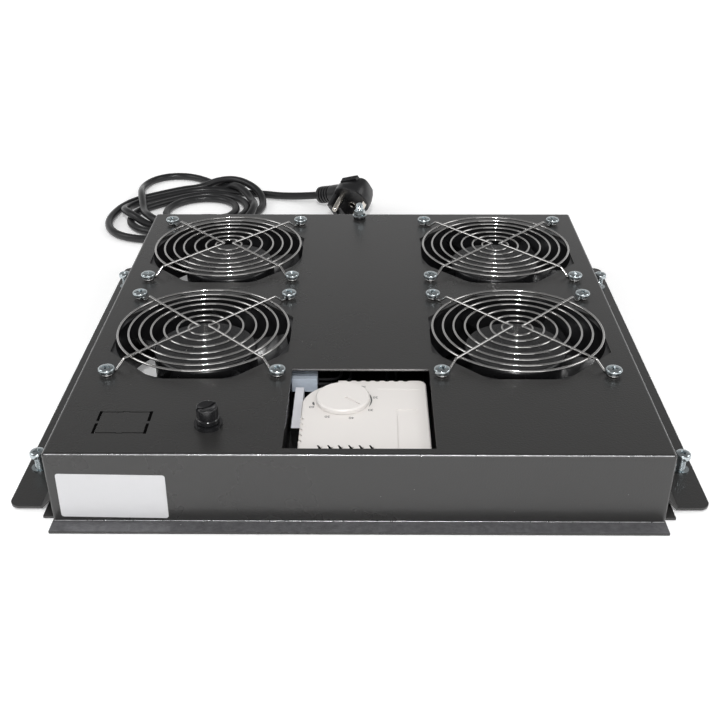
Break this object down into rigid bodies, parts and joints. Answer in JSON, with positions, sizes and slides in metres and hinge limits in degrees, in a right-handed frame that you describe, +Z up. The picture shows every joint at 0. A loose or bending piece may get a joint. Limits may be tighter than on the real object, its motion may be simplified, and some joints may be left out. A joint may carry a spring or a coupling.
{
  "type": "rack fan tray",
  "caption": "Roof-mounted rack fan tray with guarded axial fans, a dial thermostat in a window, a fuse holder and a coiled mains cord.",
  "frame": {"origin": "middle of the tray, in the plane of its flanges' undersides, on which it stands", "axes": "+X to the right seen from the thermostat side, +Y to the rear where the mains cord leaves, +Z up out of the plate with the guards"},
  "size_m": [0.447, 0.576, 0.0606],
  "materials": {
    "powder_coat": "fine-textured semi-gloss powder coat",
    "zinc_steel": "bright zinc plate",
    "fan_casting": "gloss black",
    "rotor_black": "gloss",
    "shaft_steel": "ground",
    "chrome_wire": "bright",
    "motor_core": "varnished",
    "bearing_bronze": "sintered",
    "sleeve_clear": "translucent moulded plastic",
    "thermostat_white": "satin",
    "thermostat_grey": "satin",
    "black_plastic": "gloss",
    "fuse_glass": "clear",
    "cord_pvc": "satin",
    "wire_black": "satin",
    "wire_brown": "satin",
    "wire_earth": "satin",
    "plug_nickel": "nickel plate"
  },
  "bodies": {
    "root": {"tray": "powder_coat", "side_bracket_left": "powder_coat", "side_bracket_right": "powder_coat", "roof_washers": "zinc_steel", "fan_screws": "zinc_steel", "fan_nuts": "zinc_steel", "fan_terminals": "zinc_steel", "earth_screw": "zinc_steel", "earth_washer": "zinc_steel", "earth_nut": "zinc_steel", "earth_lug": "zinc_steel", "thermostat_screws": "zinc_steel", "fuse_contacts": "zinc_steel", "thermostat_bracket": "zinc_steel", "fan_frame_front_left": "fan_casting", "finger_guard_front_left": "chrome_wire", "fan_frame_front_right": "fan_casting", "finger_guard_front_right": "chrome_wire", "fan_frame_rear_left": "fan_casting", "finger_guard_rear_left": "chrome_wire", "fan_frame_rear_right": "fan_casting", "finger_guard_rear_right": "chrome_wire", "fan_stators": "motor_core", "fan_bearings": "bearing_bronze", "terminal_sleeves": "sleeve_clear", "terminal_block": "sleeve_clear", "thermostat_cover": "thermostat_white", "thermostat_base": "thermostat_grey", "thermostat_bellows": "bearing_bronze", "thermostat_switch": "black_plastic", "fuse_body": "black_plastic", "fuse_nut": "black_plastic", "strain_relief": "cord_pvc", "cord_lead": "cord_pvc", "cord_coil": "cord_pvc", "cord_tail": "cord_pvc", "plug_body": "cord_pvc", "fan_leads": "wire_black", "control_wires": "wire_black", "mains_wires": "wire_brown", "earth_wire": "wire_earth", "plug_pins": "plug_nickel", "plug_earth_clips": "plug_nickel"},
    "rotor_front_left": {"fan_rotor_front_left": "rotor_black", "fan_shaft_front_left": "shaft_steel"},
    "rotor_front_right": {"fan_rotor_front_right": "rotor_black", "fan_shaft_front_right": "shaft_steel"},
    "rotor_rear_left": {"fan_rotor_rear_left": "rotor_black", "fan_shaft_rear_left": "shaft_steel"},
    "rotor_rear_right": {"fan_rotor_rear_right": "rotor_black", "fan_shaft_rear_right": "shaft_steel"},
    "dial": {"thermostat_dial": "thermostat_white", "thermostat_spindle": "shaft_steel"},
    "fuse_holder_carrier": {"fuse_carrier": "black_plastic", "fuse_link": "fuse_glass"},
    "fuse_holder_cap": {"fuse_cap": "black_plastic"},
    "screw_front_left": {"roof_screw_front_left": "zinc_steel"},
    "screw_front_right": {"roof_screw_front_right": "zinc_steel"},
    "screw_rear_left": {"roof_screw_rear_left": "zinc_steel"},
    "screw_rear_right": {"roof_screw_rear_right": "zinc_steel"}
  },
  "joints": [
    {"name": "fan_spin_front_left", "type": "hinge", "parent": "root", "child": "rotor_front_left", "pos_m": [-0.103, -0.0369, 0.03], "axis": [0, 0, 1], "continuous": true},
    {"name": "fan_spin_front_right", "type": "hinge", "parent": "root", "child": "rotor_front_right", "pos_m": [0.103, -0.0369, 0.03], "axis": [0, 0, 1], "continuous": true},
    {"name": "fan_spin_rear_left", "type": "hinge", "parent": "root", "child": "rotor_rear_left", "pos_m": [-0.103, 0.0978, 0.03], "axis": [0, 0, 1], "continuous": true},
    {"name": "fan_spin_rear_right", "type": "hinge", "parent": "root", "child": "rotor_rear_right", "pos_m": [0.103, 0.0978, 0.03], "axis": [0, 0, 1], "continuous": true},
    {"name": "thermostat_setting", "type": "hinge", "parent": "root", "child": "dial", "pos_m": [-0.01, -0.108, 0.042], "axis": [0, 0, 1], "range_deg": [-135, 135]},
    {"name": "fuse_pull", "type": "slide", "parent": "root", "child": "fuse_holder_carrier", "axis": [0, 0, 1], "range_m": [0, 0.03]},
    {"name": "fuse_cap_turn", "type": "hinge", "parent": "fuse_holder_carrier", "child": "fuse_holder_cap", "pos_m": [-0.0854, -0.1446, 0.055], "axis": [0, 0, 1], "range_deg": [0, 90]},
    {"name": "roof_screw_lift_front_left", "type": "slide", "parent": "root", "child": "screw_front_left", "axis": [0, 0, 1], "range_m": [0, 0.012]},
    {"name": "roof_screw_lift_front_right", "type": "slide", "parent": "root", "child": "screw_front_right", "axis": [0, 0, 1], "range_m": [0, 0.012]},
    {"name": "roof_screw_lift_rear_left", "type": "slide", "parent": "root", "child": "screw_rear_left", "axis": [0, 0, 1], "range_m": [0, 0.012]},
    {"name": "roof_screw_lift_rear_right", "type": "slide", "parent": "root", "child": "screw_rear_right", "axis": [0, 0, 1], "range_m": [0, 0.012]}
  ]
}
